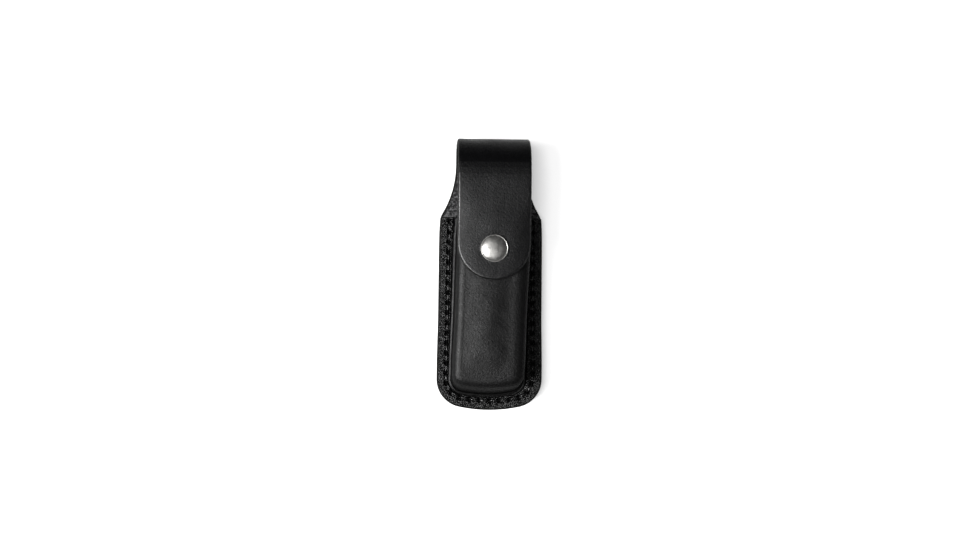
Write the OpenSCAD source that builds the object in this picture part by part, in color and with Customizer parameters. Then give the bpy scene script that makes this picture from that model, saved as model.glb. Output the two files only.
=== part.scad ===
// Leather belt case for a folding multi tool.
// It lies on its back: +X to the right, +Y towards the folded top, +Z out of the front.
// The origin is under the middle of the case, on the surface that it lies on.

/* [Leather] */
// Thickness of the blank that makes the back, the top and the flap
blank_t = 2.4; // [2:0.1:3]
// Thickness of the moulded front
front_t = 2.2; // [1.8:0.1:2.6]
// Thickness of the belt loop
loop_t = 2.2; // [1.8:0.1:2.6]

/* [Case] */
// Overall length, from the bottom edge to the outside of the folded top
case_l = 127.5; // [124:0.5:134]
// Half width at the widest place, near the bottom
half_w = 25.1; // [24:0.1:27]
// Radius of the bottom corners
corner_r = 13.5; // [12:0.5:15]
// Radius of the slightly bowed bottom edge
bottom_r = 70; // [60:1:120]
// Height of the pocket's mouth above the middle of the case
mouth_y = 27.3; // [24:0.1:28]

/* [Pocket] */
// Width of the flat stitched margin
margin_w = 6.9; // [6.5:0.1:7.5]
// Clear depth of the pocket
pocket_d = 19.2; // [17:0.1:21]
// Slope of the pocket's side walls, as their inward lean
wall_lean = 0.7; // [0.4:0.1:1.2]
// Further lean of the wall at the bottom end
end_lean = 4.4; // [0:0.2:5]
// Outside radius of the pocket's front edges
edge_r = 3.2; // [2.8:0.1:4]

/* [Strap] */
// Width of the flap and of the folded top
strap_w = 33.8; // [31:0.1:35]
// Outside radius of the fold at the back
fold_back_r = 9; // [8:0.5:10]
// Outside radius of the fold at the front
fold_front_r = 12.4; // [11:0.1:13]
// Length of the flap, from the outside of the top to its rounded tip
flap_l = 65.5; // [60:0.5:68]

/* [Belt loop] */
// Width of the loop
loop_w = 31; // [26:0.5:32]
// Clear height of the loop for the belt
belt_gap = 4.8; // [4.6:0.1:6]
// Clear length of the loop, across the belt's width
belt_w = 56; // [50:1:58]
// Length of each stitched end
tab_l = 12; // [10:0.5:13]

/* [Snap] */
// Diameter of the cap
cap_d = 12.5; // [12:0.1:13]
// Distance from the tip of the flap to the middle of the snap
snap_in = 14.4; // [14:0.1:17]
// Clear height between the front and the flap at the snap
snap_gap = 2.9; // [2.9:0.1:3.4]

/* [Stitching] */
// Thickness of the thread
thread_d = 0.84; // [0.6:0.02:0.9]
// Distance from the edge to the seam
seam_in = 4.5; // [4:0.1:4.7]
// Number of stitches round the pocket
seam_n = 42; // [36:1:46]
// Number of stitches in each seam of the belt loop
loop_n = 14; // [12:1:16]

/* [Hidden] */

y_bot = -case_l / 2;
y_top = case_l / 2;
z_loop = loop_t;                    // inside of the belt loop
z_back = loop_t + belt_gap;         // outside of the back
z_in = z_back + blank_t;            // inside of the back, and underside of the margin
z_rim = z_in + front_t;             // top of the margin
z_ceil = z_in + pocket_d;           // inside of the front
z_face = z_ceil + front_t;          // outside of the front
z_flap = z_face + snap_gap;         // underside of the flap
z_out = z_flap + blank_t;           // outside of the flap
strap_h = strap_w / 2;

corner_x = half_w - corner_r;       // centre of the bottom corners
corner_y = y_bot + bottom_r - sqrt(pow(bottom_r - corner_r, 2) - pow(corner_x, 2));
corner_a = 90 - asin(corner_x / (bottom_r - corner_r));
side_y = [mouth_y, 22, 12, 0, -12, -22, -32, -40];
shoulder_y = 28.2;                  // outer corner of the shoulders
shoulder_w = 24;
neck_y = 52.5;                      // where the shoulders run into the strap
shoulder_dx = shoulder_w - strap_h;
shoulder_dy = neck_y - shoulder_y;
shoulder_r = (pow(shoulder_dx, 2) + pow(shoulder_dy, 2)) / (2 * shoulder_dx);

snap_y = y_top - flap_l + snap_in;
flap_end_y = y_top - flap_l + strap_h;  // centre of the rounded tip

// Half width of the case at a height y
function half_at(y) = lookup(y, [[-60, half_w], [-40, half_w], [-22, half_w - 0.4], [12, half_w - 0.5],
    [22, half_w - 0.6], [shoulder_y, shoulder_w]]);

// Right half of the outline, from the mouth to the bottom, set in by d and its bottom end by a further e
function right_half(d, e = 0) = concat(
    [for (y = side_y) [half_at(y) - d, y]],
    [for (i = [0:8]) let (a = -corner_a * i / 8) [corner_x + (corner_r - d) * cos(a), corner_y + e + (corner_r - d) * sin(a)]],
    [for (i = [1:3]) let (a = -corner_a - (90 - corner_a) * i / 3) [(bottom_r - d) * cos(a), y_bot + bottom_r + e + (bottom_r - d) * sin(a)]]);
function reversed(l) = [for (i = [len(l) - 1:-1:0]) l[i]];
function contour(d, e = 0) = let (r = right_half(d, e)) concat(r, [for (i = [len(r) - 2:-1:0]) [-r[i][0], r[i][1]]]);

// A seam's place at a distance s along it: x, y and heading
seam_side = sqrt(pow(half_w - half_at(mouth_y), 2) + pow(mouth_y - 1.8 - corner_y, 2));
seam_lean = atan((half_w - half_at(mouth_y)) / (mouth_y - 1.8 - corner_y));
seam_arc = (corner_r - seam_in) * corner_a * PI / 180;
seam_base = (bottom_r - seam_in) * 2 * (90 - corner_a) * PI / 180;
seam_len = 2 * seam_side + 2 * seam_arc + seam_base;
function seam_half(s) = // the left half, from the mouth down to the middle of the bottom
    s < seam_side ? [-(half_w - seam_in) + (seam_side - s) * sin(seam_lean), corner_y + (seam_side - s) * cos(seam_lean), -90 - seam_lean]
    : s < seam_side + seam_arc ? let (a = 180 + (s - seam_side) / (corner_r - seam_in) * 180 / PI)
        [-corner_x + (corner_r - seam_in) * cos(a), corner_y + (corner_r - seam_in) * sin(a), a + 90]
    : let (a = 180 + corner_a + (s - seam_side - seam_arc) / (bottom_r - seam_in) * 180 / PI)
        [(bottom_r - seam_in) * cos(a), y_bot + bottom_r + (bottom_r - seam_in) * sin(a), a + 90];
function seam_at(s) = s <= seam_len / 2 ? seam_half(s)
    : let (p = seam_half(seam_len - s)) [-p[0], p[1], 180 - (p[2] - 180)];

// A rounded rectangle, w by h about [0, yc], as a closed seam
box_r = 1.5;
function box_len(w, h) = 2 * (w + h) - 8 * box_r + 2 * PI * box_r;
function box_at(s, w, h, yc) = let (
    a = w - 2 * box_r, b = h - 2 * box_r, q = PI * box_r / 2, l = box_len(w, h), t = s - floor(s / l) * l,
    half = a + b + 2 * q, k = t >= half ? 1 : 0, u = t - k * half,
    p = u < a ? [-a / 2 + u, -h / 2, 0]
        : u < a + q ? let (g = (u - a) / box_r * 180 / PI) [a / 2 + box_r * sin(g), -h / 2 + box_r - box_r * cos(g), g]
        : u < a + q + b ? [w / 2, -b / 2 + u - a - q, 90]
        : let (g = 90 + (u - a - q - b) / box_r * 180 / PI) [a / 2 + box_r * sin(g), h / 2 - box_r - box_r * cos(g), g])
    k == 0 ? [p[0], p[1] + yc, p[2]] : [-p[0], -p[1] + yc, p[2] + 180];

// One stitch as shares of its pitch, with the thread's depth: 0 on the surface, 1 at the turn inside the leather
stitch = [[0, 1], [0.1, 0.55], [0.22, 0.08], [0.5, -0.04], [0.78, 0.08], [0.9, 0.55]];
sides = 6;
// Rings stand square to the seam, so that steep parts stay sound
function ring(p, z) = [for (k = [0:sides - 1]) let (a = 360 * k / sides, r = thread_d / 2)
    [p[0] - r * cos(a) * sin(p[2]), p[1] + r * cos(a) * cos(p[2]), z + r * sin(a)]];
function side_faces(n, closed) = [for (i = [0:n - (closed ? 1 : 2)], k = [0:sides - 1])
    [i * sides + k, i * sides + (k + 1) % sides, ((i + 1) % n) * sides + (k + 1) % sides, ((i + 1) % n) * sides + k]];

module open_thread(n, z0, depth) {
    pitch = seam_len / n;
    rings = concat([for (i = [0:n - 1], q = stitch) ring(seam_at((i + q[0]) * pitch), z0 + depth * q[1])],
        [ring(seam_at(seam_len), z0 + depth)]);
    m = len(rings);
    polyhedron([for (r = rings, p = r) p], concat(side_faces(m, false),
        [[for (k = [sides - 1:-1:0]) k]], [[for (k = [0:sides - 1]) (m - 1) * sides + k]]), convexity = 10);
}

module closed_thread(w, h, yc, n, z0, depth) {
    pitch = box_len(w, h) / n;
    rings = [for (i = [0:n - 1], q = stitch) ring(box_at((i + q[0]) * pitch, w, h, yc), z0 + depth * q[1])];
    polyhedron([for (r = rings, p = r) p], side_faces(len(rings), true), convexity = 10);
}

// A profile drawn in [y, z], as wide as w across the case
module across(w) {
    rotate([90, 0, 90]) linear_extrude(w, center = true) children();
}

// A quarter of a strip's bend about [y, z], between angles a and b
module bend(y, z, r_out, t, a, b) {
    translate([y, z]) intersection() {
        difference() {
            circle(r_out, $fn = 96);
            circle(r_out - t, $fn = 96);
        }
        polygon([[0, 0], for (k = [0:4]) let (g = a + (b - a) * k / 4) 1.6 * r_out * [cos(g), sin(g)]]);
    }
}

// From the mouth round the right shoulder to the folded top
shoulder_a = asin(shoulder_dy / shoulder_r);
right_top = concat([[strap_h, y_top - fold_back_r], [strap_h, neck_y]],
    [for (i = [1:12]) let (a = 180 + shoulder_a * i / 12) [strap_h + shoulder_r + shoulder_r * cos(a), neck_y + shoulder_r * sin(a)]]);
module back_outline() polygon(concat(right_top, contour(0), [for (i = [len(right_top) - 1:-1:0]) [-right_top[i][0], right_top[i][1]]]));

module back_panel() {
    color([0.07, 0.07, 0.075]) {
        translate([0, 0, z_back]) linear_extrude(blank_t) back_outline();
        // first half of the fold at the back
        across(strap_w) bend(y_top - fold_back_r, z_back + fold_back_r, fold_back_r, blank_t, -90, -45);
    }
}

// The moulded front: rings of the outline, set in by the first number and raised to the second, with the third as the share of the end's further lean
outer_rings = concat([[0, z_in, 0], [0, z_rim - 0.5, 0], [0.5, z_rim, 0], [margin_w - 1.2, z_rim, 0], [margin_w - 0.35, z_rim + 0.35, 0], [margin_w, z_rim + 1.2, 0]],
    [for (a = [0:30:90]) [margin_w + wall_lean + edge_r * (1 - cos(a)), z_face - edge_r * (1 - sin(a)), 1]]);
in_r = edge_r - 1;
inner_rings = concat([[margin_w + front_t - 0.1, z_in, 0]],
    [for (a = [0:30:90]) [margin_w + wall_lean + front_t + in_r * (1 - cos(a)), z_ceil - in_r * (1 - sin(a)), 1]]);

module front_panel() {
    rings = concat(outer_rings, reversed(inner_rings));
    n = len(contour(0));
    m = len(rings);
    no = len(outer_rings);
    pts = [for (r = rings, p = contour(r[0], end_lean * r[2])) [p[0], p[1], r[1]]];
    // the skins, joined round the outside edge and closed along the mouth
    skin = [for (i = [0:m - 1], k = [0:n - 2]) if (i != no - 1)
        [i * n + k, ((i + 1) % m) * n + k, ((i + 1) % m) * n + k + 1, i * n + k + 1]];
    // flat ends as bands from side to side, and the mouth as quads from the outer skin to the inner one
    function bands(i, up) = [for (k = [0:(n - 3) / 2]) let (b = i * n + k, e = i * n + n - 1 - k)
        up ? (e - b > 2 ? [b, b + 1, e - 1, e] : [b, b + 1, e]) : (e - b > 2 ? [e, e - 1, b + 1, b] : [e, b + 1, b])];
    mouth = concat([for (i = [0:4]) [(m - 1) * n, i * n, (i + 1) * n]],
        [for (i = [0:4]) [m * n - 1, (i + 2) * n - 1, (i + 1) * n - 1]],
        [for (i = [0:3]) [(m - 1 - i) * n, (5 + i) * n, (6 + i) * n, (m - 2 - i) * n]],
        [for (i = [0:3]) [(m - i) * n - 1, (m - 1 - i) * n - 1, (7 + i) * n - 1, (6 + i) * n - 1]],
        [[no * n, (no - 1) * n, no * n - 1, (no + 1) * n - 1]]);
    color([0.09, 0.09, 0.095]) difference() {
        polyhedron(pts, concat(skin, bands(no - 1, true), bands(no, false), mouth), convexity = 10);
        translate([0, snap_y, z_ceil - 1]) cylinder(d = 3.4, h = front_t + 2, $fn = 48);
    }
}

loop_top = mouth_y - 1 + tab_l;         // upper end of the belt loop
loop_bot = loop_top - 2 * tab_l - belt_w;
bow_l = 6;                              // length over which the loop stands off

module belt_loop() {
    function ease(t) = (1 - cos(180 * t)) / 2;
    n = 8;
    up = [for (k = [0:n]) [loop_top - tab_l - bow_l * k / n, ease(k / n)]];
    lo = [for (k = [0:n]) [loop_bot + tab_l + bow_l - bow_l * k / n, 1 - ease(k / n)]];
    path = concat([[loop_top, 0]], up, lo, [[loop_bot, 0]]);
    color([0.08, 0.08, 0.085]) across(loop_w)
        polygon(concat([for (p = path) [p[0], z_back - belt_gap * p[1]]],
            reversed([for (p = path) [p[0], z_back - loop_t - belt_gap * p[1]]])));
}

module seam_needle_thread() color([0.03, 0.03, 0.03]) open_thread(seam_n, z_rim + 0.15, z_in - z_rim + 0.35);
module seam_bobbin_thread() color([0.03, 0.03, 0.03]) open_thread(seam_n, z_back - 0.15, blank_t - 0.35);

box_w = loop_w - 6;
box_h = tab_l - 4.4;
module loop_outer_thread(yc) color([0.03, 0.03, 0.03]) closed_thread(box_w, box_h, yc, loop_n, z_back - loop_t - 0.15, loop_t - 0.35);
module loop_inner_thread(yc) color([0.03, 0.03, 0.03]) closed_thread(box_w, box_h, yc, loop_n, z_in + 0.15, 0.35 - blank_t);

// The folded top, between the creases in the middle of its two bends
module flap_crown() {
    color([0.08, 0.08, 0.085]) across(strap_w) {
        bend(y_top - fold_back_r, z_back + fold_back_r, fold_back_r, blank_t, -45, 0);
        translate([y_top - blank_t, z_back + fold_back_r - 0.01])
            square([blank_t, z_out - fold_front_r - z_back - fold_back_r + 0.02]);
        bend(y_top - fold_front_r, z_out - fold_front_r, fold_front_r, blank_t, 0, 45);
    }
}

module flap_front() {
    color([0.08, 0.08, 0.085]) difference() {
        union() {
            across(strap_w) bend(y_top - fold_front_r, z_out - fold_front_r, fold_front_r, blank_t, 45, 90);
            translate([0, 0, z_flap]) linear_extrude(blank_t) {
                translate([-strap_h, flap_end_y]) square([strap_w, y_top - fold_front_r - flap_end_y]);
                intersection() {
                    translate([0, flap_end_y]) circle(strap_h, $fn = 128);
                    translate([-strap_h, flap_end_y - strap_h]) square([strap_w, strap_h]);
                }
            }
        }
        translate([0, snap_y, z_flap - 1]) cylinder(d = 4, h = blank_t + 2, $fn = 48);
    }
}

// Snap fastener, each piece turned about the snap's axis
module at_snap(z) translate([0, snap_y, z]) rotate_extrude($fn = 96) children();

cap_r = cap_d / 2;
module snap_cap() { // pressed dome with a curled rim
    color([0.8, 0.8, 0.78]) at_snap(z_out) polygon(concat(
        [[0, 2.2], for (k = [1:8]) let (g = 90 * k / 9) [(cap_r - 0.5) * sin(g), 0.75 + 1.45 * cos(g)]],
        [[cap_r - 0.1, 0.7], [cap_r, 0.4], [cap_r - 0.1, 0.1], [cap_r - 0.4, 0.02], [cap_r - 1.5, 0.02], [cap_r - 1.5, 0.32], [cap_r - 0.6, 0.34]],
        [for (k = [8:-1:1]) let (g = 90 * k / 9) [(cap_r - 0.95) * sin(g), 0.55 + 1.25 * cos(g)]], [[0, 1.8]]));
}

module cap_post() { // disc crimped into the cap, with a tube through the flap that is rolled over in the socket
    color([0.72, 0.7, 0.64]) at_snap(z_out) polygon([[cap_r - 1.6, 0.04], [cap_r - 1.6, 0.32], [cap_r - 1.2, 0.38], [cap_r - 1.2, 0.68], [1.4, 0.68],
        [1.4, -blank_t - 0.72], [2.9, -blank_t - 0.72], [2.9, -blank_t - 0.42], [1.95, -blank_t - 0.42], [1.95, 0.04]]);
}

module snap_socket() { // ring under the flap that takes the stud
    color([0.75, 0.75, 0.72]) at_snap(z_flap) polygon([[2.0, 0], [5.2, 0], [5.2, -0.3], [4.4, -0.5], [4.4, -2.0], [4.1, -2.2], [2.75, -2.2],
        [2.75, -1.85], [3.9, -1.75], [3.9, -0.35], [2.0, -0.35]]);
}

module socket_spring() { // split wire ring that grips the stud's neck
    color([0.82, 0.78, 0.6]) translate([0, snap_y, z_flap - 1.4]) rotate([0, 0, 25])
        rotate_extrude(angle = 310, $fn = 96) translate([2.62, 0]) circle(0.32, $fn = 24);
}

module snap_stud() { // post with a bulb on a flat base
    color([0.75, 0.75, 0.72]) at_snap(z_face) polygon([[1.65, 0], [4.6, 0], [4.8, 0.25], [4.6, 0.5], [2.25, 0.62], [2.1, 1.0], [2.1, 1.5],
        [2.28, 1.75], [2.2, 1.98], [1.7, 2.1], [1.3, 2.1], [1.3, 1.8], [1.65, 1.7]]);
}

module stud_rivet() { // tube from inside the pocket, with its end flared in the stud
    color([0.7, 0.66, 0.5]) at_snap(z_ceil) polygon([[0, -0.5], [3.6, -0.5], [4, -0.3], [4, -0.02], [1.6, -0.02], [1.6, front_t + 1.0],
        [1.2, front_t + 1.2], [1.2, 0.1], [0, 0.1]]);
}

back_panel();
front_panel();
belt_loop();
seam_needle_thread();
seam_bobbin_thread();
loop_outer_thread(loop_top - tab_l / 2);  // loop_upper_outer_thread
loop_inner_thread(loop_top - tab_l / 2);  // loop_upper_inner_thread
loop_outer_thread(loop_bot + tab_l / 2);  // loop_lower_outer_thread
loop_inner_thread(loop_bot + tab_l / 2);  // loop_lower_inner_thread
snap_stud();
stud_rivet();
flap_crown();
flap_front();
snap_cap();
cap_post();
snap_socket();
socket_spring();
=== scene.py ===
import math

import bmesh
import bpy
import numpy as np
from mathutils import Matrix, Vector


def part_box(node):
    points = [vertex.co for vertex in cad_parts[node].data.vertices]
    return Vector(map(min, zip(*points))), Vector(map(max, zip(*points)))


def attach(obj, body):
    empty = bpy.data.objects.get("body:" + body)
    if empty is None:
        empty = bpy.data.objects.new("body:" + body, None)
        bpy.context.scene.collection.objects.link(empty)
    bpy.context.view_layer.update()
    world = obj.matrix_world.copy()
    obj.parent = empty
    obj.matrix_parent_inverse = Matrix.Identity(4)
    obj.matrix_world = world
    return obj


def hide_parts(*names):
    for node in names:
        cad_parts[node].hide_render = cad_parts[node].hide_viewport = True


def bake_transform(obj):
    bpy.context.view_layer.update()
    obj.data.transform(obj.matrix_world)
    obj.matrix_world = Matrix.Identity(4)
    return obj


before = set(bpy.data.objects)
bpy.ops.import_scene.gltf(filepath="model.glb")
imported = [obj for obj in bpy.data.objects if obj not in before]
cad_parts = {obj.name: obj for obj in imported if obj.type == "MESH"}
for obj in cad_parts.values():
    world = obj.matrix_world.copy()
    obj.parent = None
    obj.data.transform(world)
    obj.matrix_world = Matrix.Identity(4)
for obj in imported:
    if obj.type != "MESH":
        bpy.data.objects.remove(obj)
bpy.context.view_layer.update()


PI = math.pi


def mm(node):
    lo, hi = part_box(node)
    return np.array(lo) * 1000.0, np.array(hi) * 1000.0


# ---------------------------------------------------------------- sizes, in mm, from the frame
back_lo, back_hi = mm("back_panel")
front_lo, front_hi = mm("front_panel")
loop_lo, loop_hi = mm("belt_loop")
flap_lo, flap_hi = mm("flap_front")
crown_lo, crown_hi = mm("flap_crown")
cap_lo, cap_hi = mm("snap_cap")

blank_t, front_t, loop_t = 2.4, 2.2, 2.2
z_back = back_lo[2]
z_in = z_back + blank_t
z_rim = z_in + front_t
z_face = front_hi[2]
z_ceil = z_face - front_t
z_out = flap_hi[2]
z_flap = z_out - blank_t
y_bot, y_top = back_lo[1], crown_hi[1]
mouth_y = front_hi[1]
half_w = back_hi[0]
strap_h = flap_hi[0]
tip_y = flap_lo[1]
cap_r = (cap_hi[0] - cap_lo[0]) / 2
snap_y = (cap_lo[1] + cap_hi[1]) / 2
loop_h = loop_hi[0]
loop_top, loop_bot = loop_hi[1], loop_lo[1]

corner_r, bottom_r = 13.5, 70.0
margin_w, wall_lean, end_lean, edge_r = 6.9, 0.7, 4.4, 3.2
fold_back_r, fold_front_r = 9.0, 12.4
tab_l, bow_l, belt_gap = 12.0, 6.0, 4.8
seam_in, seam_n, loop_n = 4.5, 42, 14
shoulder_y, shoulder_w, neck_y = 28.2, 24.0, 52.5

corner_x = half_w - corner_r
corner_y = y_bot + bottom_r - math.sqrt((bottom_r - corner_r) ** 2 - corner_x ** 2)
corner_a = PI / 2 - math.asin(corner_x / (bottom_r - corner_r))
sh_dx, sh_dy = shoulder_w - strap_h, neck_y - shoulder_y
shoulder_r = (sh_dx ** 2 + sh_dy ** 2) / (2 * sh_dx)
shoulder_a = math.asin(sh_dy / shoulder_r)


def half_raw(y):
    return np.interp(y, [-60, -40, -22, 12, 22, shoulder_y],
                     [half_w, half_w, half_w - 0.4, half_w - 0.5, half_w - 0.6, shoulder_w])


def half_s(y):
    y = np.asarray(y, float)
    return sum(half_raw(y + o) for o in np.linspace(-3, 3, 7)) / 7


def smooth(a, b, x):
    t = np.clip((np.asarray(x, float) - a) / (b - a), 0, 1)
    return t * t * (3 - 2 * t)


def waves(x, y, size, seed, n=7):
    """A smooth irregular field of about -1..1 with features of the given size."""
    rng = np.random.RandomState(seed)
    out = 0.0
    for _ in range(n):
        a = rng.uniform(0, 2 * PI)
        k = 2 * PI / (size * rng.uniform(0.7, 1.6))
        out = out + np.sin(k * (np.cos(a) * x + np.sin(a) * y) + rng.uniform(0, 2 * PI))
    return out / math.sqrt(n / 2) / 2


# ---------------------------------------------------------------- materials
class Nodes:
    def __init__(self, name):
        self.mat = bpy.data.materials.new(name)
        self.mat.use_nodes = True
        self.t = self.mat.node_tree
        self.t.nodes.clear()
        self.out = self.t.nodes.new("ShaderNodeOutputMaterial")
        self.bsdf = self.t.nodes.new("ShaderNodeBsdfPrincipled")
        self.link(self.bsdf.outputs[0], self.out.inputs[0])

    def link(self, a, b):
        self.t.links.new(a, b)

    def new(self, kind, **sets):
        n = self.t.nodes.new(kind)
        for k, v in sets.items():
            setattr(n, k, v)
        return n

    def pattern(self, scale=(1, 1, 1), turn=0.0, shift=(0, 0, 0)):
        a = self.new("ShaderNodeAttribute", attribute_name="pat")
        m = self.new("ShaderNodeMapping")
        m.inputs["Scale"].default_value = scale
        m.inputs["Rotation"].default_value = (0, 0, turn)
        m.inputs["Location"].default_value = shift
        self.link(a.outputs["Vector"], m.inputs["Vector"])
        return m.outputs["Vector"]

    def noise(self, vec, scale, detail=3.0, rough=0.5, distort=0.0):
        n = self.new("ShaderNodeTexNoise")
        n.inputs["Scale"].default_value = scale
        n.inputs["Detail"].default_value = detail
        n.inputs["Roughness"].default_value = rough
        n.inputs["Distortion"].default_value = distort
        self.link(vec, n.inputs["Vector"])
        return n.outputs["Fac"]

    def cells(self, vec, scale, feature="DISTANCE_TO_EDGE", random=1.0):
        n = self.new("ShaderNodeTexVoronoi", feature=feature)
        n.inputs["Scale"].default_value = scale
        n.inputs["Randomness"].default_value = random
        self.link(vec, n.inputs["Vector"])
        return n.outputs["Distance"]

    def ramp(self, fac, stops):
        n = self.new("ShaderNodeValToRGB")
        els = n.color_ramp.elements
        while len(els) < len(stops):
            els.new(0.5)
        for e, (p, c) in zip(els, stops):
            e.position = p
            e.color = (c, c, c, 1) if isinstance(c, (int, float)) else (*c, 1)
        self.link(fac, n.inputs["Fac"])
        return n.outputs["Color"]

    def remap(self, fac, a, b, c, d):
        n = self.new("ShaderNodeMapRange")
        for k, v in zip(("From Min", "From Max", "To Min", "To Max"), (a, b, c, d)):
            n.inputs[k].default_value = v
        self.link(fac, n.inputs["Value"])
        return n.outputs["Result"]

    def math(self, op, a, b=None):
        n = self.new("ShaderNodeMath", operation=op)
        for i, v in enumerate((a, b)):
            if v is None:
                continue
            if isinstance(v, (int, float)):
                n.inputs[i].default_value = v
            else:
                self.link(v, n.inputs[i])
        return n.outputs[0]

    def bump(self, height, distance, strength=1.0, normal=None):
        n = self.new("ShaderNodeBump")
        n.inputs["Strength"].default_value = strength
        n.inputs["Distance"].default_value = distance
        self.link(height, n.inputs["Height"])
        if normal is not None:
            self.link(normal, n.inputs["Normal"])
        return n.outputs["Normal"]

    def mix(self, fac, a, b):
        n = self.new("ShaderNodeMix", data_type="RGBA")
        self.link(fac, n.inputs["Factor"])
        for k, v in (("A", a), ("B", b)):
            s = [i for i in n.inputs if i.name == k and i.type == "RGBA"][0]
            if isinstance(v, tuple):
                s.default_value = (*v, 1)
            else:
                self.link(v, s)
        return [o for o in n.outputs if o.type == "RGBA"][0]

    def set(self, **values):
        for k, v in values.items():
            s = self.bsdf.inputs[k.replace("_", " ")]
            if isinstance(v, (int, float, tuple)):
                s.default_value = v
            else:
                self.link(v, s)
        return self.mat


def grain_leather(name, dark, light, rough=(0.33, 0.5), depth=0.000046, seed=0.0, turn=0.25, spec=0.23, speck=0.0, speck_size=1.2):
    """Smooth side of black leather: fine pores, faint creases, low mottling, semi-gloss."""
    n = Nodes(name)
    v = n.pattern((1.3, 0.85, 1.0), turn, (seed, seed * 1.7, 0))
    v1 = n.pattern((1, 1, 1), 0, (seed * 2.1, -seed, 0))
    broad = n.noise(v1, 0.09, 4, 0.6)
    mid = n.noise(v, 0.5, 5, 0.7, 0.5)
    fine = n.noise(v, 2.6, 4, 0.7)
    creases = n.cells(v, 0.85)
    pores = n.cells(v1, 1.7, "F1")
    tone = n.math("ADD", n.math("MULTIPLY", broad, 0.5), n.math("MULTIPLY", mid, 0.5))
    colour = n.mix(n.remap(tone, 0.38, 0.62, 0, 1), dark, light)
    rough_v = n.math("ADD", n.remap(tone, 0.36, 0.64, rough[1], rough[0]), n.remap(fine, 0.3, 0.7, -0.06, 0.06))
    pebble = n.noise(v1, 1.0, 2, 0.6)
    h = n.math("ADD", n.remap(creases, 0.0, 0.16, 0.0, 0.35), n.math("MULTIPLY", mid, 1.8))
    h = n.math("ADD", h, n.math("MULTIPLY", pebble, 3.2))
    h = n.math("ADD", h, n.math("MULTIPLY", fine, 2.2))
    h = n.math("ADD", h, n.remap(pores, 0.0, 0.2, -0.5, 0.0))
    nrm = n.bump(h, depth, 1.0)
    if speck:
        nrm = n.bump(n.noise(v1, speck_size, 5, 0.75, 0.6), speck, 1.0, nrm)
    return n.set(Base_Color=colour, Roughness=rough_v, Normal=nrm, Specular_IOR_Level=spec, IOR=1.5)


def flesh_leather(name, dark, light, depth=0.0009, seed=0.0, lo=0.3, hi=0.75, spec=0.42):
    """Rough side: matted fibres; the light specks in its colour are partly fibre tone and partly painted glints."""
    n = Nodes(name)
    v = n.pattern((1, 1, 1), 0.4, (seed, seed, 0))
    v2 = n.pattern((1.0, 1.6, 1), -0.7, (seed, 3, 0))
    big = n.noise(v, 0.5, 4, 0.6, 0.5)
    fib = n.noise(v2, 1.15, 5, 0.72, 0.9)
    clumps = n.cells(v, 0.95, "F1")
    tufts_and_painted_glints = n.noise(v, 0.8, 3, 0.6, 0.4)
    # the lighter specks of this tone are partly painted glints
    tone = n.math("ADD", n.math("MULTIPLY", tufts_and_painted_glints, 0.7), n.math("ADD", n.math("MULTIPLY", big, 0.1), n.math("MULTIPLY", fib, 0.2)))
    colour = n.mix(n.remap(tone, 0.47, 0.6, 0, 1), dark, light)
    h = n.math("ADD", n.math("MULTIPLY", fib, 1.2), n.math("MULTIPLY", clumps, -0.5))
    return n.set(Base_Color=colour, Roughness=n.remap(fib, 0.35, 0.7, hi, lo), Normal=n.bump(h, depth, 1.0), Specular_IOR_Level=spec, IOR=1.5)


def edge_leather(name, dark, light, seed=0.0):
    """Cut edge: dyed and rubbed smooth, with fine layers along it."""
    n = Nodes(name)
    v = n.pattern((0.5, 0.5, 6.0), 0, (seed, 0, 0))
    v1 = n.pattern((1, 1, 1), 0, (0, seed, 0))
    layers = n.noise(v, 1.0, 4, 0.6, 0.3)
    spots = n.noise(v1, 1.1, 4, 0.7)
    tone = n.math("ADD", n.math("MULTIPLY", layers, 0.5), n.math("MULTIPLY", spots, 0.5))
    colour = n.mix(n.remap(tone, 0.42, 0.62, 0, 1), dark, light)
    return n.set(Base_Color=colour, Roughness=n.remap(spots, 0.3, 0.7, 0.42, 0.68), Normal=n.bump(spots, 0.0002, 1.0), Specular_IOR_Level=0.04, IOR=1.5)


def waxed_thread(name):
    n = Nodes(name)
    v = n.pattern((1, 1, 1))
    fib = n.noise(n.pattern((5.0, 1.0, 5.0), 0.5), 2.0, 4, 0.7)
    tone = n.noise(v, 0.6, 3, 0.6)
    colour = n.mix(n.remap(tone, 0.35, 0.65, 0, 1), (0.0004, 0.0004, 0.0004), (0.0025, 0.0025, 0.0026))
    return n.set(Base_Color=colour, Roughness=n.remap(fib, 0.3, 0.7, 0.18, 0.36), Normal=n.bump(fib, 0.00003, 1.0), Specular_IOR_Level=0.5, IOR=1.5)


def metal(name, a, b, rough=(0.13, 0.3), scratch=0.00001, seed=0.0, size=0.5):
    n = Nodes(name)
    v = n.pattern((1, 1, 1), 0, (seed, seed, 0))
    cloud = n.noise(v, size, 5, 0.65, 0.4)
    fine = n.noise(n.pattern((0.9, 9.0, 0.9), 0.9, (seed, 0, 0)), 1.6, 4, 0.7)
    dents = n.noise(v, 1.6, 3, 0.6)
    colour = n.mix(n.remap(cloud, 0.35, 0.65, 0, 1), a, b)
    r = n.math("ADD", n.remap(cloud, 0.3, 0.7, rough[0], rough[1]), n.remap(fine, 0.3, 0.7, -0.04, 0.05))
    h = n.math("ADD", fine, n.math("MULTIPLY", dents, 3.0))
    return n.set(Base_Color=colour, Metallic=1.0, Roughness=r, Normal=n.bump(h, scratch, 1.0))


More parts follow.
